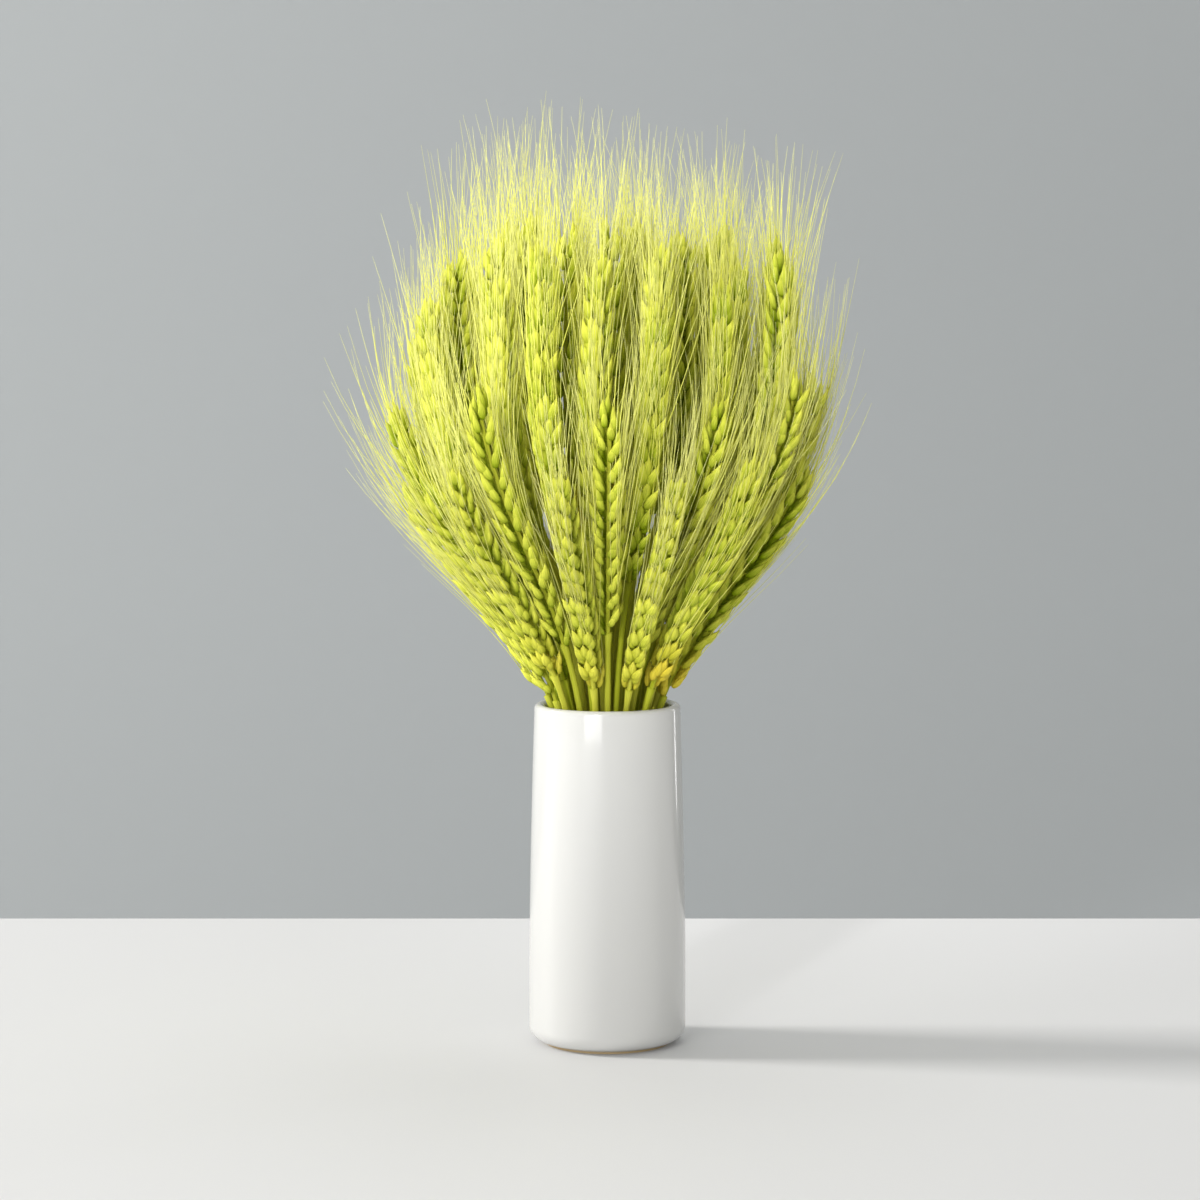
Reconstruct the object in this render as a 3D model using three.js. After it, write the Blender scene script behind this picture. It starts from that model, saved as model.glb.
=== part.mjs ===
// A bunch of bearded wheat, dried and dyed yellow-green, standing dry in a white glazed vase.
// Millimetres, +Z up. The origin is the centre of the vase's underside.
import * as THREE from "three";

// The vase: a slim cylinder that narrows a little towards a fully rounded rim.
const VASE_HEIGHT = 148;
const VASE_RIM_RADIUS = 31.5;
const VASE_BELLY_RADIUS = 34;
const VASE_BELLY_HEIGHT = 30;
const VASE_WALL = 4;
const VASE_FLOOR = 5;
const VASE_BOTTOM_ROUND = 9;
const BOTTOM_ROUND_START = THREE.MathUtils.degToRad(-76);
const FOOT_RADIUS = 27;
const FOOT_HEIGHT = 1.2;
const VASE_SIDES = 30;
const ARC_STEPS = 4;

// The bunch: stalks stand on a sunflower spiral, close together in the vase and flared above it.
const STALK_COUNT = 55;
const GOLDEN_ANGLE = Math.PI * (3 - Math.sqrt(5));
const BUNCH_CORE = 14.8;
const BUNCH_FLARE = 88;
const FLARE_HEIGHT = 203;
const FLARE_SOFTNESS = 28;

// How high the ears end: a dome inside, and round it two rings of thirteen stalks, which the spiral
// spaces evenly. The outer ring is a collar whose ears start at the rim.
const DOME_TOP = 346;
const DOME_SHOULDER = 50;
const DOME_POWER = 4;
const DROP_INNER = 12;
const DROP_OUTER = 45;
const TIER_COUNT = 13;
const COLLAR = { low: 224, spread: 22 };
const SHOULDER = { low: 258, spread: 40 };

// Shares by which a stalk bulges outward between two heights: the collar as it leaves the rim, and
// the others higher up, where they take the room that the low ears of the collar leave.
const COLLAR_BULGE = { share: 0.05, from: VASE_HEIGHT, to: 178 };
const INNER_BULGE = { share: 0.14, from: 190, to: 290 };

// How far the ears are turned about their own lines: any way, but the collar's face outward.
const ANY_TURN = Math.PI;
const COLLAR_TURN = THREE.MathUtils.degToRad(70);

// Each stalk strays a little from its place as it rises: round the bunch, and in or out.
const SWAY = THREE.MathUtils.degToRad(5);
const NOD = 0.03;
const STRAY_RISE = 200;

// One stalk: a stem, then an ear with two ranks of spikelets, the far rank half a pitch higher.
const STEM_GAP = 0.3;
const STEM_HALF_WIDTH = 1.15;
const STEM_LEVELS = [0, 1];
const NECK_RINGS = 1;
const PAIRS = 6;
const PITCH = 13;
const PITCH_SPREAD = 0.16;
const STAGGER = 0.5;
const RACHIS_HALF_DEPTH = 1.2;
const RACHIS_HALF_WIDTH = 1.1;

// A spikelet's profile: distance out from the rachis, height above its own foot, and half width.
const BELLY_OUTER = { out: 5.8, up: 5, half: 3 };
const BELLY_INNER = { out: 2.7, up: 12, half: 4.6 };
const TIP_OUTER = { out: 6.8, up: 16.4, half: 0.35 };
const TIP_INNER = { out: 6.2, up: 17, half: 0.35 };
const TERMINAL_BELLY = { out: 2.5, up: 8, half: 3 };
const TERMINAL_TIP = { out: 0.35, up: 17, half: 0.35 };

// Spikelet sizes along the ear: they swell from its foot and taper to its top between these shares.
const EAR_FOOT_SIZE = 0.6;
const EAR_SWELL = [-0.1, 0.35];
const EAR_TOP_SIZE = 0.8;
const EAR_TAPER = [0.6, 1];

// The awns: one to a spikelet, leaning out of the ear and bent clear of what is already there.
const AWN_LENGTH = 60;
const AWN_LENGTH_SPREAD = 0.3;
const AWN_LEAN = THREE.MathUtils.degToRad(5);
const AWN_LEAN_SPREAD = THREE.MathUtils.degToRad(9);
const AWN_LEAN_FURTHER = THREE.MathUtils.degToRad(20);
const AWN_FAN = THREE.MathUtils.degToRad(110);
const AWN_RADIUS = 0.5;
const AWN_CLEARANCE = 0.35;
const AWN_TRIES = 60;
const AWN_SHORTEST = 0.35;

// A spikelet as rods, for keeping awns clear of it.
const BODY_ROD_SPLIT = 0.55;
const BELLY_ROD_RADIUS = 1.9;
const TIP_ROD_RADIUS = 1.8;
const PARALLEL = 1e-9;

const GLAZE = new THREE.MeshStandardMaterial({ color: 0xf1f1ee, roughness: 0.18, metalness: 0 });
const STRAW = new THREE.MeshStandardMaterial({ color: 0xbdc14a, roughness: 0.75, metalness: 0 });

// Evenly spread numbers from 0 to 1: the fractional steps of a square root, one root for each use.
const ROOT = { height: 2, pitch: 3, roll: 7, lean: 5, fan: 11, length: 13, sway: 17, nod: 19 };
const spread = (index, root) => ((index + 1) * Math.sqrt(root)) % 1;
const either = (index, root) => 2 * spread(index, root) - 1;

// Radius of the bunch's outermost stalk at a height.
function bunchRadius(z) {
  return BUNCH_CORE + BUNCH_FLARE / (1 + Math.exp((FLARE_HEIGHT - z) / FLARE_SOFTNESS));
}

// A stalk's centre line, from the vase's floor to the top of its rachis.
class StalkCurve extends THREE.Curve {
  constructor(k, top) {
    super();
    this.foot = VASE_FLOOR + STEM_GAP;
    this.top = top;
    this.reach = reachOf(k);
    this.azimuth = k * GOLDEN_ANGLE;
    this.sway = SWAY * either(k, ROOT.sway);
    this.nod = NOD * either(k, ROOT.nod);
    this.bulge = tierOf(k) === COLLAR ? COLLAR_BULGE : INNER_BULGE;
  }

  getPoint(t, target = new THREE.Vector3()) {
    const z = THREE.MathUtils.lerp(this.foot, this.top, t);
    const stray = Math.max(0, (z - VASE_HEIGHT) / STRAY_RISE) ** 2;
    const { share, from, to } = this.bulge;
    const bulge = share * THREE.MathUtils.smoothstep(z, from, to);
    const r = this.reach * bunchRadius(z) * (1 + this.nod * stray + bulge);
    const azimuth = this.azimuth + this.sway * stray;
    return target.set(r * Math.cos(azimuth), r * Math.sin(azimuth), z);
  }
}

// How far out stalk number k stands, as a share of the bunch's radius.
function reachOf(k) {
  return Math.sqrt((k + 0.5) / STALK_COUNT);
}

// The ring that stalk number k belongs to, or null for one of the dome.
function tierOf(k) {
  if (k >= STALK_COUNT - TIER_COUNT) return COLLAR;
  return k >= STALK_COUNT - 2 * TIER_COUNT ? SHOULDER : null;
}

// The height of the top of stalk number k's rachis.
function topOf(k) {
  const reach = reachOf(k);
  const share = spread(k, ROOT.height);
  const tier = tierOf(k);
  if (tier) return tier.low + tier.spread * share;
  return DOME_TOP - DOME_SHOULDER * reach ** DOME_POWER - (DROP_INNER + DROP_OUTER * reach ** 2) * share;
}

// How stalk number k's ear is turned about its own line. Collar ears show both ranks to the outside.
function rollOf(k) {
  const turn = tierOf(k) === COLLAR ? COLLAR_TURN : ANY_TURN;
  return Math.PI / 2 + (turn / 2) * either(k, ROOT.roll);
}

// Stalk number k: its centre line, the pitch of its spikelets, and how its ear is turned.
function layOut(k) {
  const curve = new StalkCurve(k, topOf(k));
  const pitch = PITCH * (1 + PITCH_SPREAD * (spread(k, ROOT.pitch) - 0.5));
  return { k, curve, pitch, roll: rollOf(k), length: curve.getLength() };
}

// Centre, upward direction and the two side directions of a stalk, a distance along its line.
function frameAt(stalk, distance) {
  const { curve, length, roll } = stalk;
  const u = THREE.MathUtils.clamp(distance / length, 0, 1);
  const up = curve.getTangentAt(u);
  const centre = curve.getPointAt(u).addScaledVector(up, distance - u * length);
  const around = new THREE.Vector3(-Math.sin(curve.azimuth), Math.cos(curve.azimuth), 0);
  const rank = new THREE.Vector3().crossVectors(around, up).normalize().applyAxisAngle(up, roll);
  return { centre, up, rank, flat: new THREE.Vector3().crossVectors(up, rank) };
}

// A point beside a stalk: a distance along it, then out along its rank and across its flat.
function pointAt(stalk, distance, out, across) {
  const { centre, rank, flat } = frameAt(stalk, distance);
  return centre.addScaledVector(rank, out).addScaledVector(flat, across);
}

// Spikelets are smaller at the foot and the top of an ear; share runs from 0 to 1 along it.
function spikeletSize(share) {
  const foot = EAR_FOOT_SIZE + (1 - EAR_FOOT_SIZE) * THREE.MathUtils.smoothstep(share, ...EAR_SWELL);
  return foot - (1 - EAR_TOP_SIZE) * THREE.MathUtils.smoothstep(share, ...EAR_TAPER);
}

// The spikelets of an ear: foot along the stalk, side of the rachis and size.
function spikeletsOf(stalk) {
  const earFoot = stalk.length - (PAIRS + STAGGER) * stalk.pitch;
  const made = [];
  for (let pair = 0; pair < PAIRS; pair++) {
    for (const side of [1, -1]) {
      const rise = side > 0 ? 0 : STAGGER;
      const foot = earFoot + (pair + rise) * stalk.pitch;
      made.push({ pair, side, foot, size: spikeletSize((pair + rise) / PAIRS) });
    }
  }
  return { earFoot, made };
}

// The name by which a spikelet's own rods are told from the others'.
const awnName = (stalk, i) => `${stalk.k}/${i}`;

// Shortest distance between two segments, each given by its two ends.
function segmentDistance(a, b, c, d) {
  const u = b.clone().sub(a);
  const v = d.clone().sub(c);
  const w = a.clone().sub(c);
  const uu = u.dot(u);
  const uv = u.dot(v);
  const vv = v.dot(v);
  const uw = u.dot(w);
  const vw = v.dot(w);
  const clamp = (x) => THREE.MathUtils.clamp(x, 0, 1);
  const denominator = uu * vv - uv * uv;
  let s = denominator > PARALLEL ? clamp((uv * vw - vv * uw) / denominator) : 0;
  const t = clamp((uv * s + vw) / vv);
  s = clamp((uv * t - uw) / uu);
  return w.addScaledVector(u, s).addScaledVector(v, -t).length();
}

// Rods that an awn must stay clear of: the stem, and the body and tip of each spikelet.
function bodyRods(stalk) {
  const { earFoot, made } = spikeletsOf(stalk);
  const rods = [];
  const step = stalk.pitch;
  for (let s = 0; s < earFoot; s += step) {
    const ends = [pointAt(stalk, s, 0, 0), pointAt(stalk, Math.min(s + step, earFoot), 0, 0)];
    rods.push({ ends, radius: STEM_HALF_WIDTH * Math.SQRT2 });
  }
  made.forEach(({ side, foot, size }, i) => {
    const owner = awnName(stalk, i);
    const at = (spot, across) =>
      pointAt(stalk, foot + size * spot.up, side * size * spot.out, across * size * spot.half);
    for (const across of [-BODY_ROD_SPLIT, BODY_ROD_SPLIT]) {
      const ends = [at(BELLY_OUTER, across), at(BELLY_INNER, across)];
      rods.push({ owner, ends, radius: size * BELLY_ROD_RADIUS });
    }
    const crest = at(BELLY_OUTER, 0).lerp(at(BELLY_INNER, 0), 0.5);
    rods.push({ owner, ends: [crest, at(TIP_OUTER, 0)], radius: size * TIP_ROD_RADIUS });
  });
  return rods;
}

// The end of an awn, drawn again until it is clear of every rod; a blocked one is cut short.
function awnEnd(stalk, { root, outward, share, foot }, number, rods) {
  const { up, rank, flat } = frameAt(stalk, foot);
  const full = AWN_LENGTH * (1 - AWN_LENGTH_SPREAD * spread(number, ROOT.length)) * share;
  const near = rods.filter(({ ends }) => ends[0].distanceTo(root) < full + AWN_LENGTH);
  let best = null;
  for (let attempt = 0; attempt < AWN_TRIES; attempt++) {
    const draw = number * AWN_TRIES + attempt;
    const further = (AWN_LEAN_FURTHER * attempt) / AWN_TRIES;
    const lean = AWN_LEAN + AWN_LEAN_SPREAD * spread(draw, ROOT.lean) + further;
    const turn = AWN_FAN * (spread(draw, ROOT.fan) - 0.5);
    const sideways = rank.clone().multiplyScalar(outward * Math.cos(turn));
    sideways.addScaledVector(flat, Math.sin(turn));
    const aim = up.clone().multiplyScalar(Math.cos(lean)).addScaledVector(sideways, Math.sin(lean));
    const length = full * (attempt < AWN_TRIES / 2 ? 1 : AWN_SHORTEST);
    const end = root.clone().addScaledVector(aim, length);
    const gap = Math.min(...near.map((r) => segmentDistance(root, end, ...r.ends) - r.radius));
    if (!best || gap > best.gap) best = { end, gap };
    if (gap > AWN_RADIUS + AWN_CLEARANCE) break;
  }
  return best;
}

// A closed mesh grown ring by ring; every ring has four corners, anticlockwise from above.
class RingMesh {
  constructor() {
    this.points = [];
    this.faces = [];
  }

  add(points) {
    return points.map((p) => this.points.push(p) - 1);
  }

  quad(a, b, c, d) {
    this.faces.push(a, b, c, a, c, d);
  }

  wall(lower, upper) {
    lower.forEach((_, j) => this.side(lower, upper, j));
  }

  side(lower, upper, j) {
    const next = (j + 1) % lower.length;
    this.quad(lower[j], lower[next], upper[next], upper[j]);
  }

  point(ring, apex) {
    const [tip] = this.add([apex]);
    ring.forEach((corner, j) => this.faces.push(corner, ring[(j + 1) % ring.length], tip));
  }

  geometry() {
    const made = new THREE.BufferGeometry().setFromPoints(this.points);
    made.setIndex(this.faces);
    return made.toNonIndexed();
  }
}

// Corner signs of a ring, along the rank and across the flat.
const CORNERS = [[1, 1], [-1, 1], [-1, -1], [1, -1]];

// A square ring round a stalk. The half on the far side of an ear stands half a pitch higher.
function ring(stalk, distance, depth, width, stagger = 0) {
  return CORNERS.map(([a, b]) => pointAt(stalk, distance + (a < 0 ? stagger : 0), a * depth, b * width));
}

// Length of a stalk's line up to a height.
function lengthTo(stalk, z) {
  const { foot, top } = stalk.curve;
  const lengths = stalk.curve.getLengths();
  const place = ((z - foot) / (top - foot)) * (lengths.length - 1);
  const i = Math.min(Math.floor(place), lengths.length - 2);
  return THREE.MathUtils.lerp(lengths[i], lengths[i + 1], place - i);
}

// Distances along a stalk of its stem's rings: up the inside of the vase to its mouth, then the neck.
function stemLevels(stalk, earFoot) {
  const { foot } = stalk.curve;
  const levels = STEM_LEVELS.map((share) => lengthTo(stalk, foot + (VASE_HEIGHT - foot) * share));
  const mouth = levels[levels.length - 1];
  for (let i = 1; i <= NECK_RINGS; i++) {
    levels.push(mouth + ((earFoot - mouth) * i) / (NECK_RINGS + 1));
  }
  return levels;
}

// A spikelet drawn out of one side of the rachis: its belly, its tip and its awn.
function growSpikelet(mesh, stalk, spikelet, base, awn) {
  const { side, foot, size } = spikelet;
  const corner = (spot, sign) =>
    pointAt(stalk, foot + size * spot.up, side * size * spot.out, side * sign * size * spot.half);
  const loop = (outer, inner) =>
    mesh.add([corner(outer, -1), corner(outer, 1), corner(inner, 1), corner(inner, -1)]);
  const belly = loop(BELLY_OUTER, BELLY_INNER);
  const tip = loop(TIP_OUTER, TIP_INNER);
  for (let j = 0; j < 3; j++) {
    mesh.side(base, belly, j);
  }
  mesh.quad(base[0], belly[0], belly[3], base[3]);
  mesh.wall(belly, tip);
  mesh.point(tip, awn);
}

// One stalk in one piece: stem, rachis, spikelets and awns.
function stalkGeometry(stalk, awns) {
  const { earFoot, made } = spikeletsOf(stalk);
  const mesh = new RingMesh();
  const levels = stemLevels(stalk, earFoot);
  const stem = levels.map((s) => mesh.add(ring(stalk, s, STEM_HALF_WIDTH, STEM_HALF_WIDTH)));
  mesh.quad(stem[0][3], stem[0][2], stem[0][1], stem[0][0]);
  stem.slice(1).forEach((upper, i) => mesh.wall(stem[i], upper));

  const stagger = STAGGER * stalk.pitch;
  const rachisRing = (pair) => {
    const distance = earFoot + pair * stalk.pitch;
    return mesh.add(ring(stalk, distance, RACHIS_HALF_DEPTH, RACHIS_HALF_WIDTH, stagger));
  };
  let lower = rachisRing(0);
  mesh.wall(stem[stem.length - 1], lower);
  for (let pair = 0; pair < PAIRS; pair++) {
    const upper = rachisRing(pair + 1);
    mesh.side(lower, upper, 0);
    mesh.side(lower, upper, 2);
    const near = [lower[3], lower[0], upper[0], upper[3]];
    const far = [lower[1], lower[2], upper[2], upper[1]];
    growSpikelet(mesh, stalk, made[2 * pair], near, awns[2 * pair]);
    growSpikelet(mesh, stalk, made[2 * pair + 1], far, awns[2 * pair + 1]);
    lower = upper;
  }

  const terminal = [TERMINAL_BELLY, TERMINAL_TIP].map((spot) =>
    mesh.add(ring(stalk, stalk.length + spot.up, spot.out, spot.half)),
  );
  mesh.wall(lower, terminal[0]);
  mesh.wall(terminal[0], terminal[1]);
  mesh.point(terminal[1], awns[2 * PAIRS]);
  return mesh.geometry();
}

// Where each awn of a stalk starts, which way it leans and how long it is for its place.
function awnRoots(stalk) {
  const { made } = spikeletsOf(stalk);
  const tips = made.map(({ side, foot, size }) => ({
    root: pointAt(stalk, foot + size * TIP_INNER.up, side * size * TIP_INNER.out, 0),
    outward: side,
    share: size,
    foot,
  }));
  const root = pointAt(stalk, stalk.length + TERMINAL_TIP.up, 0, 0);
  return [...tips, { root, outward: 1, share: EAR_TOP_SIZE, foot: stalk.length }];
}

// Every stalk's awns, one after another, each kept clear of the bodies and of the awns before it.
function placeAwns(stalks) {
  const rods = stalks.flatMap(bodyRods);
  let number = 0;
  return stalks.map((stalk) =>
    awnRoots(stalk).map((awn, i) => {
      const others = rods.filter(({ owner }) => owner !== awnName(stalk, i));
      const { end } = awnEnd(stalk, awn, number++, others);
      rods.push({ owner: awnName(stalk, i), ends: [awn.root, end], radius: AWN_RADIUS });
      return end;
    }),
  );
}

// An arc in the vase's profile, as points after its first.
function arc(cx, cy, radius, from, to) {
  const curve = new THREE.EllipseCurve(cx, cy, radius, radius, from, to, to < from);
  return curve.getPoints(ARC_STEPS).slice(1);
}

// The vase's wall in section: up the outside, over the rim and down the inside.
function vaseProfile() {
  const point = (r, z) => new THREE.Vector2(r, z);
  const rimRound = VASE_WALL / 2;
  const bottom = VASE_BELLY_RADIUS - VASE_BOTTOM_ROUND;
  const innerBelly = VASE_BELLY_RADIUS - VASE_WALL;
  return [
    point(0, 0),
    point(FOOT_RADIUS, 0),
    point(FOOT_RADIUS, FOOT_HEIGHT),
    ...arc(bottom, FOOT_HEIGHT + VASE_BOTTOM_ROUND, VASE_BOTTOM_ROUND, BOTTOM_ROUND_START, 0),
    point(VASE_BELLY_RADIUS, VASE_BELLY_HEIGHT),
    point(VASE_RIM_RADIUS, VASE_HEIGHT - rimRound),
    ...arc(VASE_RIM_RADIUS - rimRound, VASE_HEIGHT - rimRound, rimRound, 0, Math.PI),
    point(innerBelly, VASE_BELLY_HEIGHT),
    point(innerBelly, VASE_FLOOR + VASE_WALL),
    point(innerBelly - VASE_WALL, VASE_FLOOR),
    point(0, VASE_FLOOR),
  ];
}

const part = new THREE.Group();

const vase = new THREE.Mesh(new THREE.LatheGeometry(vaseProfile(), VASE_SIDES), GLAZE);
vase.name = "vase";
vase.rotation.x = Math.PI / 2;
part.add(vase);

const stalks = Array.from({ length: STALK_COUNT }, (_, k) => layOut(k));
const awns = placeAwns(stalks);
stalks.forEach((stalk, i) => {
  const mesh = new THREE.Mesh(stalkGeometry(stalk, awns[i]), STRAW);
  mesh.name = `wheat_stalk_${String(i + 1).padStart(2, "0")}`;
  part.add(mesh);
});

export default part;
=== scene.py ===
# %% [markdown]
# # A bunch of bearded wheat in a white vase
#
# The real thing is a slim glazed vase with fifty-five dyed and dried wheat stalks standing in it. This
# lesson keeps every stalk where the imported solids have it and gives each one a finer ear: one husk and one
# awn are modelled, copied into a few straight ears, and each ear is then bent along its own stalk.

# %% Load the frame
import math
import random

import bmesh
import bpy
from mathutils import Matrix, Vector


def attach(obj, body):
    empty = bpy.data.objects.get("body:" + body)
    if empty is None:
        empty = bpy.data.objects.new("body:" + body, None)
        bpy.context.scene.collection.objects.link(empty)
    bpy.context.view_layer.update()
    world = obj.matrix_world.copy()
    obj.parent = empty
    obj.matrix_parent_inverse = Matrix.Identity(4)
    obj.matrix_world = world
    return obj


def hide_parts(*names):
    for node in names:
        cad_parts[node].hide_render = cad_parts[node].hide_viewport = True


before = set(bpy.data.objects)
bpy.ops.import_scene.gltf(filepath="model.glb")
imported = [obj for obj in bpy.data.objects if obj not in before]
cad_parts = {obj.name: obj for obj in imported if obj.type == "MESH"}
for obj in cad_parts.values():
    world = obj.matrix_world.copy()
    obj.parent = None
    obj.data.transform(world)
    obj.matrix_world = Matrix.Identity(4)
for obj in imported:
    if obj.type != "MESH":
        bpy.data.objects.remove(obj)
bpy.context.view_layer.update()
MM = 0.001

# %% [markdown]
# ## Camera
#
# The picture was taken from about the height of the upper ears, with a long lens. The rim's ellipse and the
# base's ellipse give the height and the distance, and the camera is tipped down until both sit at their
# places.

# %% Set the camera
VIEW_DISTANCE = 1.62
VIEW_HEIGHT = 0.345
VIEW_SIDE = -3.2 * MM
VIEW_PITCH = math.radians(5.37)
LENS_MM = 113.4

bpy.ops.object.camera_add(
    location=(VIEW_SIDE, -VIEW_DISTANCE, VIEW_HEIGHT),
    rotation=(math.pi / 2 - VIEW_PITCH, 0, 0),
)
camera = bpy.context.object
camera.data.lens = LENS_MM
bpy.context.scene.camera = camera
bpy.context.scene.view_settings.view_transform = "Standard"
print("camera at", [round(x, 3) for x in camera.location])

# %% [markdown]
# ## Working in code
#
# Operators act on what is selected, so each step first selects just what it means to change. These few
# helpers select objects, points or rings, and leave everything else alone.


# %% Helpers for selecting and finishing
def only(*objects):
    """Selects these objects alone, and makes the first one active."""
    bpy.ops.object.select_all(action="DESELECT")
    for item in objects:
        item.select_set(True)
    bpy.context.view_layer.objects.active = objects[0]


def edit(piece):
    """Goes into edit mode with nothing selected."""
    only(piece)
    bpy.ops.object.mode_set(mode="EDIT")
    bpy.ops.mesh.select_mode(type="VERT")
    bpy.ops.mesh.select_all(action="DESELECT")


def leave():
    bpy.ops.object.mode_set(mode="OBJECT")


def pick(test):
    """Selects the points whose place passes the test, and what lies between them."""
    bpy.ops.mesh.select_all(action="DESELECT")
    mesh = bmesh.from_edit_mesh(bpy.context.object.data)
    for point in mesh.verts:
        point.select_set(test(point.co))
    mesh.select_flush(True)


def pick_edges(test):
    """Selects the edges whose two ends pass the test."""
    bpy.ops.mesh.select_mode(type="EDGE")
    bpy.ops.mesh.select_all(action="DESELECT")
    mesh = bmesh.from_edit_mesh(bpy.context.object.data)
    for edge in mesh.edges:
        edge.select_set(test(*(end.co for end in edge.verts)))
    mesh.select_flush_mode()


def settle(piece):
    """Puts the object's place and size into its mesh."""
    only(piece)
    bpy.ops.object.transform_apply(location=True, rotation=True, scale=True)


def near(a, b, tolerance=0.01 * MM):
    return abs(a - b) < tolerance


def upright(length):
    """Tests for the edges that run the whole length of a new cylinder or cone."""
    return lambda a, b: abs(a.z - b.z) > length / 2


def ring_at(height):
    """Tests for the ring of points at one height."""
    return lambda p: near(p.z, height)


def smooth_finish(piece, material):
    only(piece)
    bpy.ops.object.shade_smooth()
    piece.data.materials.append(material)
    print(piece.name, "faces:", len(piece.data.polygons))


# %% [markdown]
# ## Shader maths
#
# A finish is easier to read as arithmetic than as a tangle of nodes. `Field` wraps one socket and turns
# plus, minus and times into Math nodes, and `Finish` makes any other node by name.


# %% Numbers that vary over a surface
class Field:
    """A number that varies over a surface."""

    def __init__(self, finish, socket):
        self.finish = finish
        self.socket = socket

    def maths(self, operation, *values):
        return self.finish.node("ShaderNodeMath", {"operation": operation}, dict(enumerate(values)))

    def __add__(self, other):
        return self.maths("ADD", self, other)

    def __sub__(self, other):
        return self.maths("SUBTRACT", self, other)

    def __rsub__(self, other):
        return self.maths("SUBTRACT", other, self)

    def __mul__(self, other):
        return self.maths("MULTIPLY", self, other)

    __radd__ = __add__

    def between(self, low, high):
        """Runs smoothly from 0 at low to 1 at high."""
        settings = {"interpolation_type": "SMOOTHSTEP"}
        sockets = {"Value": self, "From Min": low, "From Max": high}
        return self.finish.node("ShaderNodeMapRange", settings, sockets)


# %% Materials
class Finish:
    """One material, with its Principled shader."""

    def __init__(self, name):
        self.material = bpy.data.materials.new(name)
        self.material.use_nodes = True
        self.tree = self.material.node_tree
        self.shader = self.tree.nodes["Principled BSDF"]

    def node(self, kind, settings=None, sockets=None, output=0):
        """Any node: its settings are set first, then its sockets get values or links."""
        made = self.tree.nodes.new(kind)
        for key, value in (settings or {}).items():
            setattr(made, key, value)
        for key, value in (sockets or {}).items():
            self.feed(made.inputs[key], value)
        return Field(self, made.outputs[output])

    def feed(self, socket, value):
        if isinstance(value, Field):
            self.tree.links.new(value.socket, socket)
        else:
            socket.default_value = value

    def mix(self, factor, low, high):
        """A colour that runs from low to high; the numbered sockets are the colour ones."""
        settings = {"data_type": "RGBA", "clamp_factor": True}
        return self.node("ShaderNodeMix", settings, {0: factor, 6: low, 7: high}, output=2)

    def attribute(self, name):
        return self.node("ShaderNodeAttribute", {"attribute_name": name}, output="Fac")

    def place(self, coordinates):
        """The three numbers of a coordinate set, as fields."""
        vector = self.node("ShaderNodeTexCoord", output=coordinates)
        return [self.node("ShaderNodeSeparateXYZ", None, {0: vector}, output=i) for i in range(3)]

    def noise(self, x, y, z, detail=2.0):
        vector = self.node("ShaderNodeCombineXYZ", None, {0: x, 1: y, 2: z})
        return self.node("ShaderNodeTexNoise", None, {"Vector": vector, "Scale": 1.0, "Detail": detail})

    def set(self, **sockets):
        """Feeds the shader's sockets, as in base_color=..., roughness=..."""
        for key, value in sockets.items():
            name = key.replace("_", " ").title().replace("Ior", "IOR")
            self.feed(self.shader.inputs[name], value)

    def bump(self, height, distance, strength=1.0):
        sockets = {"Height": height, "Distance": distance, "Strength": strength}
        self.feed(self.shader.inputs["Normal"], self.node("ShaderNodeBump", None, sockets))


def rgb(red, green, blue):
    return (red, green, blue, 1.0)


# %% [markdown]
# ## Straw
#
# Dyed wheat is one colour only from afar. Husks are dark and green at the root and pale at the tip, with
# fine ribs; awns are paler and catch the light; stems are olive with long streaks. Three numbers are stored
# on each mesh, so that neighbours differ: `tone` for the whole stalk, `shade` for one spikelet, and `ripe`
# for the few low spikelets that took less dye and stayed yellow.

# %% Choose the straw's colours
HUSK_ROOT = rgb(0.25, 0.35, 0.0)
HUSK_TIP = rgb(0.88, 0.88, 0.11)
HUSK_RIPE = rgb(0.86, 0.62, 0.05)
AWN_ROOT = rgb(0.82, 0.83, 0.09)
AWN_TIP = rgb(0.79, 0.79, 0.28)
STEM_GREEN = rgb(0.30, 0.36, 0.003)
STEM_STRAW = rgb(0.64, 0.60, 0.08)
DRY_SPECULAR = 0.12
print("straw colours, darkest and lightest:", HUSK_ROOT[:3], HUSK_TIP[:3])

# %% Make the husk's finish
RIBS = 46.0
RIB_STRETCH = 2.5
RIB_DEPTH = 0.45 * MM


def husk_finish():
    finish = Finish("dyed_husk")
    u, v, _ = finish.place("UV")
    ribs = finish.noise(u * RIBS, v * RIB_STRETCH, 0.0)
    tone = finish.attribute("tone")
    shade = finish.attribute("shade")
    light = v * 1.15 + shade * 0.3 + tone * 0.2 + ribs * 0.9 - 0.82
    colour = finish.mix(light, HUSK_ROOT, HUSK_TIP)
    colour = finish.mix(finish.attribute("ripe"), colour, HUSK_RIPE)
    finish.set(base_color=colour, roughness=0.5 + ribs * 0.25, specular_ior_level=DRY_SPECULAR)
    finish.bump(ribs, RIB_DEPTH)
    return finish.material


HUSK = husk_finish()
print("finish:", HUSK.name)


# %% Make the awn's and the stem's finishes
STREAKS = 24.0
STREAK_STRETCH = 3.0
STREAK_DEPTH = 0.2 * MM


def awn_finish():
    finish = Finish("dyed_awn")
    _, v, _ = finish.place("UV")
    tone, shade = finish.attribute("tone"), finish.attribute("shade")
    light = (v - 0.5) * 1.5 + tone * 0.35 + shade * 0.3 - 0.1
    colour = finish.mix(light, AWN_ROOT, AWN_TIP)
    finish.set(base_color=colour, roughness=0.6, specular_ior_level=DRY_SPECULAR)
    return finish.material


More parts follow.
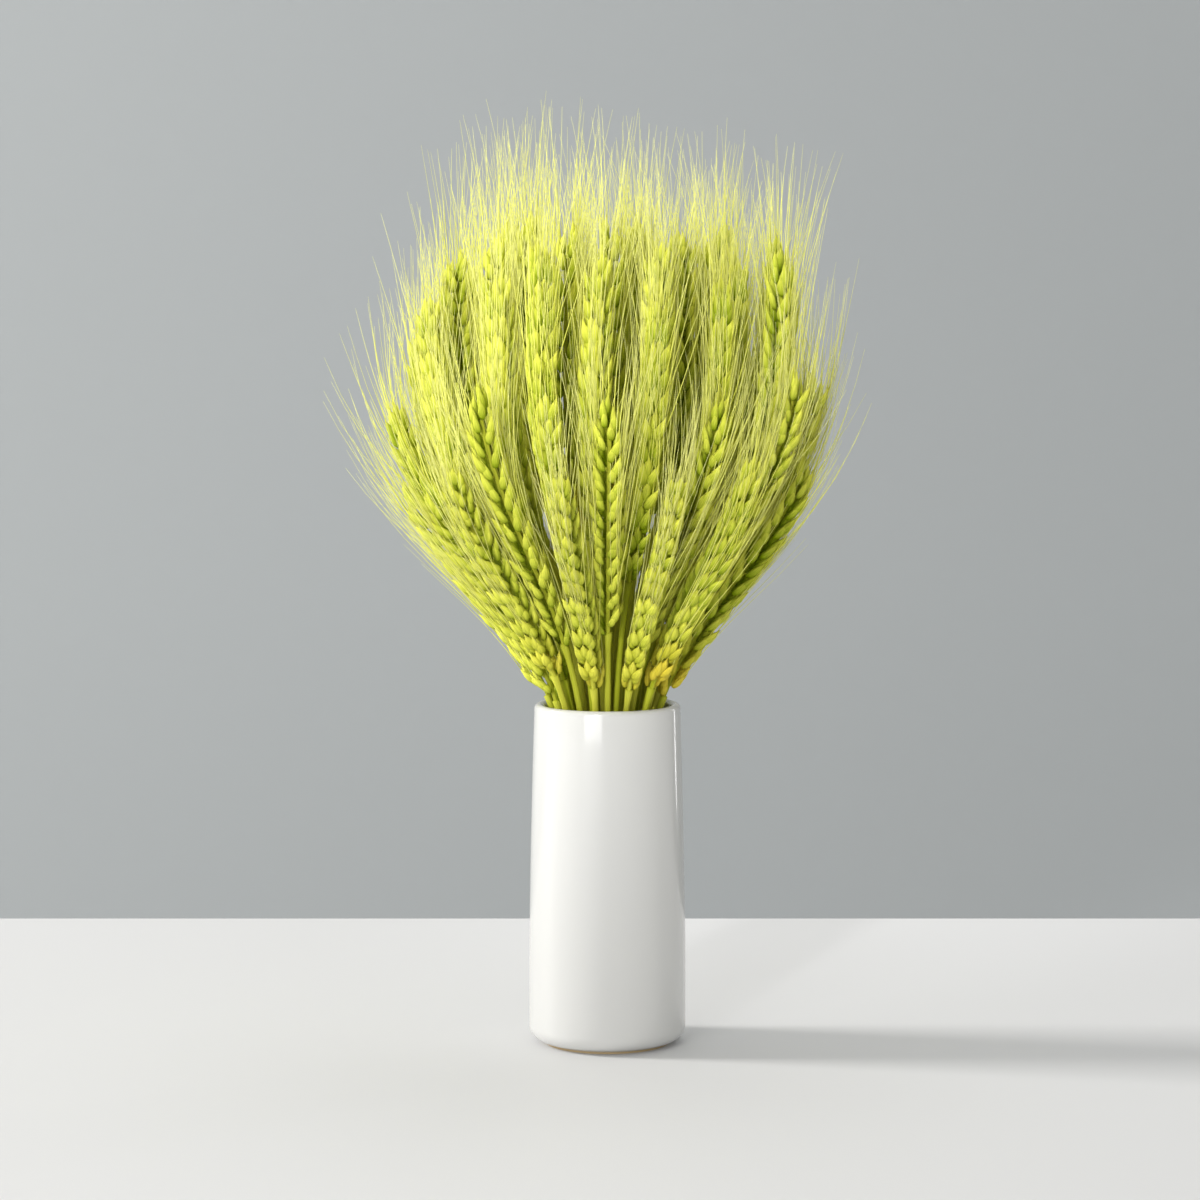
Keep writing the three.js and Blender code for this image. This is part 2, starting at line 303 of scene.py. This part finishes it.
def stem_finish():
    finish = Finish("dyed_stem")
    u, v, _ = finish.place("UV")
    tone = finish.attribute("tone")
    streaks = finish.noise(u * STREAKS, v * STREAK_STRETCH, tone * 9.0)
    light = streaks * 1.2 + tone * 0.5 - 0.4
    colour = finish.mix(light, STEM_GREEN, STEM_STRAW)
    finish.set(base_color=colour, roughness=0.5 + streaks * 0.2, specular_ior_level=DRY_SPECULAR)
    finish.bump(streaks, STREAK_DEPTH)
    return finish.material


AWN, STEM = awn_finish(), stem_finish()
print("finishes:", AWN.name, STEM.name)

# %% [markdown]
# ## One husk
#
# A husk is a plump boat: round outside with a keel, nearly flat where it lies on the ear, and drawn to a
# point. A small ball gives the closed form, and each of its rings is then sized one by one. It is copied
# thousands of times, so it has only forty-eight faces.

# %% Model a husk
HUSK_LENGTH = 10.8 * MM
HUSK_HALF_WIDTHS = (1.4, 2.45, 2.75, 1.95, 0.75)
HUSK_DEPTH = 0.84

bpy.ops.mesh.primitive_uv_sphere_add(
    segments=8, ring_count=6, radius=HUSK_LENGTH / 2, location=(0, 0, HUSK_LENGTH / 2)
)
husk = bpy.context.object
husk.name = "husk"
settle(husk)
edit(husk)
for number, half_width in enumerate(HUSK_HALF_WIDTHS):
    turn = math.pi * (number + 1) / (len(HUSK_HALF_WIDTHS) + 1)
    height = HUSK_LENGTH / 2 * (1 - math.cos(turn))
    wide = half_width * MM / (HUSK_LENGTH / 2 * math.sin(turn))
    pick(ring_at(height))
    bpy.ops.transform.resize(value=(wide * HUSK_DEPTH, wide, 1), center_override=(0, 0, height))
print("husk rings sized:", len(HUSK_HALF_WIDTHS))

# %% Flatten the husk's inside and draw out its keel and point
HUSK_INSIDE, INSIDE_FROM = 0.45, -0.05 * MM
HUSK_KEEL, KEEL_FROM = 0.5 * MM, 0.3 * MM
HUSK_POINT = 1.8 * MM

pick(lambda p: p.x < INSIDE_FROM)
bpy.ops.transform.resize(value=(HUSK_INSIDE, 1, 1), center_override=(0, 0, 0))
pick(lambda p: p.x > KEEL_FROM and near(p.y, 0))
bpy.ops.transform.translate(value=(HUSK_KEEL, 0, 0))
pick(ring_at(HUSK_LENGTH))
bpy.ops.transform.translate(value=(0, 0, HUSK_POINT))
leave()
smooth_finish(husk, HUSK)

# %% [markdown]
# ## One awn
#
# An awn is a stiff bristle, thick as a pencil line at its root and fine as a hair at its tip. A three-sided
# cone is enough. Its long edges are cut into short ones so that the rings can be moved sideways, a little
# more at each step, into a gentle curve.

# %% Model an awn
AWN_LENGTH = 60 * MM
AWN_ROOT_RADIUS = 0.24 * MM
AWN_TIP_RADIUS = 0.05 * MM
AWN_STEPS = 5
AWN_CURVE = 3 * MM

bpy.ops.mesh.primitive_cone_add(
    vertices=3,
    radius1=AWN_ROOT_RADIUS,
    radius2=AWN_TIP_RADIUS,
    depth=AWN_LENGTH,
    location=(0, 0, AWN_LENGTH / 2),
)
awn = bpy.context.object
awn.name = "awn"
settle(awn)
edit(awn)
pick_edges(upright(AWN_LENGTH))
bpy.ops.mesh.subdivide(number_cuts=AWN_STEPS - 1)
bpy.ops.mesh.select_mode(type="VERT")
for step in range(1, AWN_STEPS + 1):
    pick(ring_at(AWN_LENGTH * step / AWN_STEPS))
    bpy.ops.transform.translate(value=(AWN_CURVE * (step / AWN_STEPS) ** 2, 0, 0))
leave()
smooth_finish(awn, AWN)

# %% [markdown]
# ## Straight ears
#
# In an ear, spikelets sit left and right of the rachis by turns. Each has two keeled glumes low down, two
# florets above them and a third one between, and most of them end in an awn. Five straight ears are made
# from seeded draws, so that no two neighbours in the bunch are alike. A copy is placed by a matrix, because
# a husk is turned about three lines at once.

# %% Describe a spikelet
GLUME = {"across": 2.0, "out": 1.5, "up": 0.0, "lean": 13, "fan": 13, "turn": 42, "size": 0.84}
FLORET = {"across": 1.25, "out": 2.1, "up": 2.6, "lean": 17, "fan": 13, "turn": 24, "size": 1.0}
MIDDLE = {"across": 0.0, "out": 2.3, "up": 5.4, "lean": 13, "fan": 0, "turn": 0, "size": 0.92}
HUSKS = [(GLUME, 1), (GLUME, -1), (FLORET, 1), (FLORET, -1), (MIDDLE, 1)]
HUSK_SHAKE = 6


def turned(angle, axis):
    return Matrix.Rotation(angle, 4, axis)


def husk_place(draw, kind, hand):
    """Where one husk of a spikelet sits: X is out of the ear, Y across it and Z up it."""
    seat = Vector((kind["out"], hand * kind["across"], kind["up"])) * MM
    lean, fan = (kind[key] + draw.uniform(-HUSK_SHAKE, HUSK_SHAKE) for key in ("lean", "fan"))
    aim = turned(math.radians(lean), "Y") @ turned(-hand * math.radians(fan), "X")
    face = turned(hand * math.radians(kind["turn"]), "Z")
    return Matrix.Translation(seat) @ aim @ face @ Matrix.Scale(kind["size"], 4)


print("husks in a spikelet:", len(HUSKS))


# %% Copy and join
def marked(original, matrix, **marks):
    """A copy with its own mesh, put in its place, with its numbers stored on its points."""
    copy = bpy.data.objects.new(original.name + "_copy", original.data.copy())
    bpy.context.collection.objects.link(copy)
    copy.data.transform(matrix)
    for name, value in marks.items():
        layer = copy.data.attributes.new(name, "FLOAT", "POINT")
        layer.data.foreach_set("value", [value] * len(copy.data.vertices))
    return copy


def joined(name, pieces):
    only(*pieces)
    bpy.ops.object.join()
    made = bpy.context.object
    made.name = name
    return made


# %% Place an awn
EAR_LENGTH = 102 * MM
AWN_LEAN = (-3.0, 12.0)
AWN_FAN = 13.0
AWN_SPIN = 1.2
TIDY_AT_FOOT = 0.45
WILD_AWNS = 0.16
WILD_ABOVE = 0.35
WILDER = 2.0
AWN_LONGEST = (60, 80)
AWN_BEYOND = (0.03, 0.46)


def awn_place(draw, share):
    """From a husk's tip up the ear, leaning out and to a side, more so higher up the ear."""
    loose = math.radians(TIDY_AT_FOOT + (1 - TIDY_AT_FOOT) * share)
    if draw.random() < WILD_AWNS and share > WILD_ABOVE:
        loose *= WILDER
    lean = turned(draw.uniform(*AWN_LEAN) * loose, "Y")
    fan = turned(draw.uniform(-AWN_FAN, AWN_FAN) * loose, "X")
    spin = turned(draw.uniform(-AWN_SPIN, AWN_SPIN), "Z")
    longest = draw.uniform(*AWN_LONGEST) * MM
    to_its_end = (1 + draw.uniform(*AWN_BEYOND) - share) * EAR_LENGTH
    grow = Matrix.Diagonal((1, 1, min(longest, to_its_end) / AWN_LENGTH, 1))
    return lean @ fan @ spin @ grow


print("awns end past the ear by up to", round(AWN_BEYOND[1] * EAR_LENGTH / MM), "mm")

# %% Make a spikelet
SPIKELETS = 22
FOOT_SIZE, SWELL = 0.74, (-0.1, 0.35)
TOP_SIZE, TAPER = 0.84, (0.6, 1.0)
CLOSING, CLOSING_TILT = (0.85, 1.02), math.radians(9)
SHAKE = math.radians(5)
RIPE_FEET = (0.0, 0.0, 0.85, 0.0, 0.4)
RIPE_BELOW = 0.28
GLUME_AWNS = {"low": 0.85, "high": 0.15}
HIGH_FROM = 0.6


def smooth(low, high, value):
    share = min(1.0, max(0.0, (value - low) / (high - low)))
    return share * share * (3 - 2 * share)


def spikelet_size(share):
    size = FOOT_SIZE + (1 - FOOT_SIZE) * smooth(*SWELL, share)
    return size - (1 - TOP_SIZE) * smooth(*TAPER, share)


def spikelet(draw, ear_kind, number):
    """The copies that make up one spikelet of a straight ear."""
    share = number / SPIKELETS
    side = turned(math.pi * (number % 2), "Z")
    tilt = turned(draw.uniform(-SHAKE, SHAKE) - CLOSING_TILT * smooth(*CLOSING, share), "Y")
    roll = turned(draw.uniform(-SHAKE, SHAKE), "Z")
    place = Matrix.Translation((0, 0, share * EAR_LENGTH)) @ side @ roll @ tilt
    ripe = RIPE_FEET[ear_kind] * (1 - smooth(0.0, RIPE_BELOW, share)) * draw.uniform(0.5, 1.0)
    marks = {"shade": draw.random(), "ripe": ripe}
    grow = Matrix.Scale(spikelet_size(share), 4)
    glume_awns = GLUME_AWNS["high" if share > HIGH_FROM else "low"]
    made = []
    for kind, hand in HUSKS:
        seat = place @ grow @ husk_place(draw, kind, hand)
        made.append(marked(husk, seat, **marks))
        if kind is GLUME and draw.random() > glume_awns:
            continue
        tip = Matrix.Translation(seat @ Vector((0, 0, HUSK_LENGTH)))
        made.append(marked(awn, tip @ side @ awn_place(draw, share), **marks))
    return made


print("spikelet sizes from foot to top:", [round(spikelet_size(i / 4), 2) for i in range(5)])

# %% Make the straight ears
EAR_KINDS = len(RIPE_FEET)
RACHIS_RADIUS = 1.0 * MM


def straight_rachis():
    bpy.ops.mesh.primitive_cylinder_add(
        vertices=6, radius=RACHIS_RADIUS, depth=EAR_LENGTH, location=(0, 0, EAR_LENGTH / 2)
    )
    rachis = bpy.context.object
    settle(rachis)
    edit(rachis)
    pick_edges(upright(EAR_LENGTH))
    bpy.ops.mesh.subdivide(number_cuts=SPIKELETS - 1)
    leave()
    rachis.data.materials.append(STEM)
    return rachis


def straight_ear(ear_kind):
    draw = random.Random(ear_kind + 1)
    pieces = [straight_rachis()]
    for number in range(SPIKELETS + 1):
        pieces += spikelet(draw, ear_kind, number)
    return joined(f"straight_ear_{ear_kind}", pieces)


ears = [straight_ear(kind) for kind in range(EAR_KINDS)]
print("ear faces:", [len(ear.data.polygons) for ear in ears])

# %% [markdown]
# ## Stem
#
# A stem is a straw, seen only from outside, so a closed cylinder does. It is modelled one metre long, to be
# stretched to each stalk's length, and cut into short lengths so that it can bend. It swells a little where
# the ear begins.

# %% Model a stem
STEM_RADIUS = 1.4 * MM
STEM_CUTS = 23
STEM_SWELL = 1.3

bpy.ops.mesh.primitive_cylinder_add(vertices=8, radius=STEM_RADIUS, depth=1.0, location=(0, 0, 0.5))
stem = bpy.context.object
stem.name = "stem"
settle(stem)
edit(stem)
pick_edges(upright(1.0))
bpy.ops.mesh.subdivide(number_cuts=STEM_CUTS)
bpy.ops.mesh.select_mode(type="VERT")
pick(ring_at(1.0))
bpy.ops.transform.resize(value=(STEM_SWELL, STEM_SWELL, 1), center_override=(0, 0, 1))
leave()
smooth_finish(stem, STEM)

# %% [markdown]
# ## Where each stalk stands
#
# The solids stand on a sunflower spiral: close together in the vase, flared above it, with a collar of low
# ears at the rim, a ring of shoulders and a dome. The same rule is repeated here, so that each fine stalk
# follows the line of the solid it stands for. The numbers that vary from stalk to stalk are the fractions
# of steps of a square root, which spread out evenly without being regular.

# %% Name the sizes of the layout
VASE_HEIGHT = 148 * MM
VASE_FLOOR = 5.3 * MM
STALKS = 55
TIER = 13
GOLDEN_ANGLE = math.pi * (3 - math.sqrt(5))
CORE, FLARE = 14.8 * MM, 88 * MM
FLARE_HEIGHT, FLARE_SOFTNESS = 203 * MM, 28 * MM
DOME_TOP, DOME_SHOULDER = 346 * MM, 50 * MM
DROP_INNER, DROP_OUTER = 12 * MM, 45 * MM
COLLAR_LOW, COLLAR_SPREAD = 224 * MM, 22 * MM
SHOULDER_LOW, SHOULDER_SPREAD = 258 * MM, 40 * MM
COLLAR_BULGE = (0.05, 148 * MM, 178 * MM)
INNER_BULGE = (0.14, 190 * MM, 290 * MM)
SWAY, NOD, STRAY_RISE = math.radians(5), 0.03, 200 * MM
HEIGHT_ROOT, LENGTH_ROOT, FOOT_ROOT, ROLL_ROOT = 2, 3, 5, 7
SWAY_ROOT, NOD_ROOT, TONE_ROOT = 17, 19, 23
print("stalks:", STALKS, "of which in the collar and the shoulders:", 2 * TIER)


# %% Find the top of each stalk
def spread(number, root):
    return (number + 1) * math.sqrt(root) % 1


def either(number, root):
    return 2 * spread(number, root) - 1


def reach_of(k):
    return math.sqrt((k + 0.5) / STALKS)


def in_collar(k):
    return k >= STALKS - TIER


def top_of(k):
    share, reach = spread(k, HEIGHT_ROOT), reach_of(k)
    if in_collar(k):
        return COLLAR_LOW + COLLAR_SPREAD * share
    if k >= STALKS - 2 * TIER:
        return SHOULDER_LOW + SHOULDER_SPREAD * share
    return DOME_TOP - DOME_SHOULDER * reach**4 - (DROP_INNER + DROP_OUTER * reach**2) * share


print("highest ear ends at", round(max(map(top_of, range(STALKS))) / MM), "mm")

# %% Draw the line of each stalk
LINE_STEPS = 60


def line_point(k, z):
    """Where a stalk is at one height."""
    stray = max(0.0, (z - VASE_HEIGHT) / STRAY_RISE) ** 2
    amount, low, high = COLLAR_BULGE if in_collar(k) else INNER_BULGE
    bulge = amount * smooth(low, high, z)
    radius = CORE + FLARE / (1 + math.exp((FLARE_HEIGHT - z) / FLARE_SOFTNESS))
    radius *= reach_of(k) * (1 + NOD * either(k, NOD_ROOT) * stray + bulge)
    azimuth = k * GOLDEN_ANGLE + SWAY * either(k, SWAY_ROOT) * stray
    return Vector((radius * math.cos(azimuth), radius * math.sin(azimuth), z))


def line_of(k, further=0.0):
    """The stalk's line from the vase's floor to its top, and further for the awns."""
    foot, top = VASE_FLOOR, top_of(k) + further
    return [line_point(k, foot + (top - foot) * i / LINE_STEPS) for i in range(LINE_STEPS + 1)]


def length_of(line):
    return sum((b - a).length for a, b in zip(line, line[1:]))


lengths = [length_of(line_of(k)) for k in range(STALKS)]
print("stalk lengths in mm:", round(min(lengths) / MM), "to", round(max(lengths) / MM))

# %% Find where each ear begins and how it is turned
INNER_EAR, EAR_SPREAD = 1.08, 0.16
COLLAR_FOOT, COLLAR_FOOT_SPREAD = 151 * MM, 13 * MM
COLLAR_TURN = math.radians(70)


def ear_foot(k):
    """How far up its line the ear begins; the collar's ears begin at the rim."""
    if in_collar(k):
        foot = COLLAR_FOOT + COLLAR_FOOT_SPREAD * spread(k, FOOT_ROOT)
        return length_of([point for point in line_of(k) if point.z < foot])
    return lengths[k] - EAR_LENGTH * (INNER_EAR + EAR_SPREAD * (spread(k, LENGTH_ROOT) - 0.5))


def roll_of(k):
    turn = COLLAR_TURN if in_collar(k) else math.pi
    return math.pi / 2 + turn / 2 * either(k, ROLL_ROOT)


print("lowest ear begins at", round(min(map(ear_foot, range(STALKS))) / MM), "mm along its stalk")

# %% [markdown]
# ## Bending the stalks
#
# Each stalk is first put together straight: its stem, then its ear turned about its own line. A Curve
# modifier lays it along the stalk's line, which is how a straight model is bent by hand, and is applied so
# that the mesh itself is bent. The line is drawn on past the ear, so that the awns follow the flare too.

# %% Bend a straight stalk along its line
AWN_REACH = 70 * MM


def guide_for(k):
    route = bpy.data.curves.new("route", "CURVE")
    route.dimensions = "3D"
    route.twist_mode = "MINIMUM"
    spline = route.splines.new("POLY")
    points = line_of(k, AWN_REACH)
    spline.points.add(len(points) - 1)
    for point, place in zip(spline.points, points):
        point.co = (*place, 1.0)
    guide = bpy.data.objects.new("guide", route)
    bpy.context.collection.objects.link(guide)
    return guide


def bend(piece, k):
    guide = guide_for(k)
    only(piece)
    modifier = piece.modifiers.new("along", "CURVE")
    modifier.object = guide
    modifier.deform_axis = "POS_Z"
    bpy.ops.object.modifier_apply(modifier=modifier.name)
    bpy.data.objects.remove(guide)


print("each line has", LINE_STEPS + 1, "points")


# %% Make the stalks
def make_stalk(k):
    foot, tone = ear_foot(k), spread(k, TONE_ROOT)
    long_stem = Matrix.Diagonal((1, 1, foot, 1))
    long_ear = Matrix.Diagonal((1, 1, (lengths[k] - foot) / EAR_LENGTH, 1))
    ear_place = Matrix.Translation((0, 0, foot)) @ turned(roll_of(k), "Z") @ long_ear
    stem_copy = marked(stem, long_stem, shade=0.5, ripe=0.0, tone=tone)
    ear_copy = marked(ears[k % EAR_KINDS], ear_place, tone=tone)
    stalk = joined(f"wheat_{k + 1:02d}", [stem_copy, ear_copy])
    bend(stalk, k)
    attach(stalk, "root")
    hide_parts(f"wheat_stalk_{k + 1:02d}")
    return stalk


stalks = [make_stalk(k) for k in range(STALKS)]
for pattern in (husk, awn, stem, *ears):
    bpy.data.objects.remove(pattern)
print("stalk faces in all:", sum(len(stalk.data.polygons) for stalk in stalks))

# %% [markdown]
# ## Vase
#
# The vase is slip-cast: a slim body, widest low down, with a rounded bottom edge, a bare foot and a soft,
# rounded rim. A cylinder is cut into rings that take the body's profile, then hollowed by an inset and an
# extrusion, and its edges are rounded with the bevel operator.

# %% Shape the vase's body
VASE_SIDES = 96
VASE_RINGS = 9
FOOT_HEIGHT = 1.2 * MM
RIM_RADIUS = 31.5 * MM
BELLY_RADIUS, BELLY_HEIGHT = 34 * MM, 30 * MM
TAPER_POWER = 1.5


def body_radius(z):
    above_belly = max(0.0, (z - BELLY_HEIGHT) / (VASE_HEIGHT - BELLY_HEIGHT))
    return BELLY_RADIUS - (BELLY_RADIUS - RIM_RADIUS) * above_belly**TAPER_POWER


bpy.ops.object.select_all(action="DESELECT")
bpy.ops.mesh.primitive_cylinder_add(
    vertices=VASE_SIDES,
    radius=BELLY_RADIUS,
    depth=VASE_HEIGHT - FOOT_HEIGHT,
    location=(0, 0, (VASE_HEIGHT + FOOT_HEIGHT) / 2),
)
vase = bpy.context.object
vase.name = "glazed_vase"
settle(vase)
edit(vase)
pick_edges(upright(VASE_HEIGHT))
bpy.ops.mesh.subdivide(number_cuts=VASE_RINGS)
bpy.ops.mesh.select_mode(type="VERT")
for ring in range(1, VASE_RINGS + 2):
    height = FOOT_HEIGHT + (VASE_HEIGHT - FOOT_HEIGHT) * ring / (VASE_RINGS + 1)
    pick(ring_at(height))
    share = body_radius(height) / BELLY_RADIUS
    bpy.ops.transform.resize(value=(share, share, 1), center_override=(0, 0, height))
print("body radius in mm, low to high:", [round(body_radius(z * MM) / MM, 1) for z in (0, 50, 100, 148)])

# %% Hollow the vase and draw out its foot
WALL = 4 * MM
INSIDE_FLOOR = 5 * MM
FOOT_RADIUS = 27 * MM


def inset_and_move(height, inset, rise):
    """Insets the face at one height and extrudes what is inside it."""
    bpy.ops.mesh.select_mode(type="FACE")
    pick(ring_at(height))
    bpy.ops.mesh.inset(thickness=inset)
    bpy.ops.mesh.extrude_region_move(TRANSFORM_OT_translate={"value": (0, 0, rise)})


inset_and_move(VASE_HEIGHT, WALL, INSIDE_FLOOR - VASE_HEIGHT)
inset_and_move(FOOT_HEIGHT, BELLY_RADIUS - FOOT_RADIUS, -FOOT_HEIGHT)
print("inside depth in mm:", round((VASE_HEIGHT - INSIDE_FLOOR) / MM))

# %% Round the vase's edges
RIM_ROUND = 1.92 * MM
BOTTOM_ROUND = 6.75 * MM
SMOOTH_BELOW = math.radians(50)


def round_edge(height, radius, width, segments):
    """Rounds the ring of edges at one height and radius."""

    def on_ring(point):
        return near(point.z, height) and near(point.xy.length, radius, 0.2 * MM)

    pick_edges(lambda a, b: on_ring(a) and on_ring(b))
    bpy.ops.mesh.bevel(offset=width, segments=segments, affect="EDGES")


round_edge(VASE_HEIGHT, RIM_RADIUS, RIM_ROUND, 6)
round_edge(VASE_HEIGHT, RIM_RADIUS - WALL, RIM_ROUND, 6)
round_edge(FOOT_HEIGHT, BELLY_RADIUS, BOTTOM_ROUND, 10)
leave()
only(vase)
bpy.ops.object.shade_smooth_by_angle(angle=SMOOTH_BELOW)
print("vase faces:", len(vase.data.polygons))

# %% [markdown]
# ## Glaze
#
# A white glaze is glassy and very slightly uneven: it thins at the rim and lies in soft ripples that bend
# the reflections. The foot is wiped bare before firing, so the clay shows there, warm and rough.

# %% Make the glaze
GLAZE_WHITE = rgb(0.64, 0.64, 0.625)
GLAZE_THIN = rgb(0.58, 0.57, 0.545)
BARE_CLAY = rgb(0.50, 0.37, 0.20)
RIPPLES_ROUND, RIPPLES_UP = 38.0, 14.0
RIPPLE_DEPTH = 0.25 * MM
CLOUDS = 16.0
THIN_RIM = 2.5 * MM


def glaze_finish():
    finish = Finish("white_glaze")
    x, y, z = finish.place("Object")
    ripple = finish.noise(x * RIPPLES_ROUND, y * RIPPLES_ROUND, z * RIPPLES_UP, detail=1.0)
    cloud = finish.noise(x * CLOUDS, y * CLOUDS, z * CLOUDS)
    thin = z.between(VASE_HEIGHT - THIN_RIM, VASE_HEIGHT) * 0.6
    bare = 1 - z.between(FOOT_HEIGHT / 2, FOOT_HEIGHT + 0.1 * MM)
    colour = finish.mix(thin + cloud * 0.15, GLAZE_WHITE, GLAZE_THIN)
    finish.set(base_color=finish.mix(bare, colour, BARE_CLAY))
    finish.set(roughness=0.1 + cloud * 0.06 + bare * 0.6, coat_weight=0.3 - bare * 0.3)
    finish.bump(ripple, RIPPLE_DEPTH, 0.5)
    return finish.material


vase.data.materials.append(glaze_finish())
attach(vase, "root")
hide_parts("vase")
print("vase finish:", vase.data.materials[0].name)

# %% [markdown]
# ## Stage
#
# The object stands on a plain pale table in front of a plain grey wall. A lower floor behind the table
# keeps the other views plain too.

# %% Set the stage
TABLE_WHITE = rgb(0.74, 0.74, 0.745)
WALL_GREY = rgb(0.455, 0.48, 0.49)
TABLE_WIDTH, TABLE_DEPTH, TABLE_BACK = 5.0, 3.0, 0.30
ROOM, WALL_AWAY, WALL_TALL, FLOOR_DROP = 9.0, 2.4, 6.0, 0.75
UPRIGHT = (math.pi / 2, 0, 0)


def plain(name, colour, roughness):
    finish = Finish(name)
    grain = finish.noise(*[axis * 3.0 for axis in finish.place("Object")])
    darker = rgb(*[part * 0.94 for part in colour[:3]])
    finish.set(base_color=finish.mix(grain * 0.2, colour, darker), roughness=roughness)
    return finish.material


def sheet(name, size, location, rotation, colour, roughness):
    bpy.ops.mesh.primitive_plane_add(size=1, location=location, rotation=rotation)
    made = bpy.context.object
    made.name = name
    made.scale = (*size, 1)
    made.data.materials.append(plain(name + "_paint", colour, roughness))
    print("stage:", name)


table_middle = (0, TABLE_BACK - TABLE_DEPTH / 2, 0)
sheet("table", (TABLE_WIDTH, TABLE_DEPTH), table_middle, (0, 0, 0), TABLE_WHITE, 0.6)
sheet("wall", (ROOM, WALL_TALL), (0, WALL_AWAY, 1.0), UPRIGHT, WALL_GREY, 0.9)
sheet("floor", (ROOM, ROOM), (0, 0, -FLOOR_DROP), (0, 0, 0), TABLE_WHITE, 0.9)

# %% [markdown]
# ## Light
#
# One large soft lamp on the left is the key, like a window, and throws the pale shadow to the right. Weaker
# ones in front and above open the shadows, a narrow one lifts the bunch, and a tall strip behind on the
# right draws the thin line of light down the vase's edge.


# %% Set the lamps
def aimed(kind, name, location, aim, power):
    bpy.ops.object.light_add(type=kind, location=location)
    made = bpy.context.object
    made.name = name
    made.data.energy = power
    made.rotation_euler = (Vector(aim) - Vector(location)).to_track_quat("-Z", "Y").to_euler()
    return made.data


def panel(name, location, aim, power, wide, tall):
    made = aimed("AREA", name, location, aim, power)
    made.shape = "RECTANGLE"
    made.size, made.size_y = wide, tall
    return made


MIDDLE_OF_ALL, MIDDLE_OF_BUNCH, MIDDLE_OF_VASE = (0, 0, 0.22), (0, 0, 0.3), (0, 0, 0.1)
panel("key", (-3.8, 0.4, 2.0), MIDDLE_OF_ALL, 150, 0.9, 0.9).color = (1.0, 0.98, 0.95)
panel("fill", (-0.9, -2.2, 0.6), MIDDLE_OF_ALL, 20, 1.2, 1.2)
panel("top", (0.2, 0.5, 1.9), MIDDLE_OF_ALL, 6, 1.2, 1.2)
panel("strip", (1.15, 0.95, 0.35), MIDDLE_OF_VASE, 1.2, 0.06, 0.9)
beam = aimed("SPOT", "bunch", (-0.8, -2.35, 1.3), MIDDLE_OF_BUNCH, 190)
beam.spot_size = math.radians(8.0)
beam.spot_blend = 0.5
beam.shadow_soft_size = 0.12

# %% Set the room's own light
ROOM_WHITE = rgb(0.86, 0.86, 0.84)
ROOM_STRENGTH = 0.6

world = bpy.data.worlds.new("soft_room")
world.use_nodes = True
background = world.node_tree.nodes["Background"]
background.inputs["Color"].default_value = ROOM_WHITE
background.inputs["Strength"].default_value = ROOM_STRENGTH
bpy.context.scene.world = world
print("room light:", ROOM_STRENGTH)
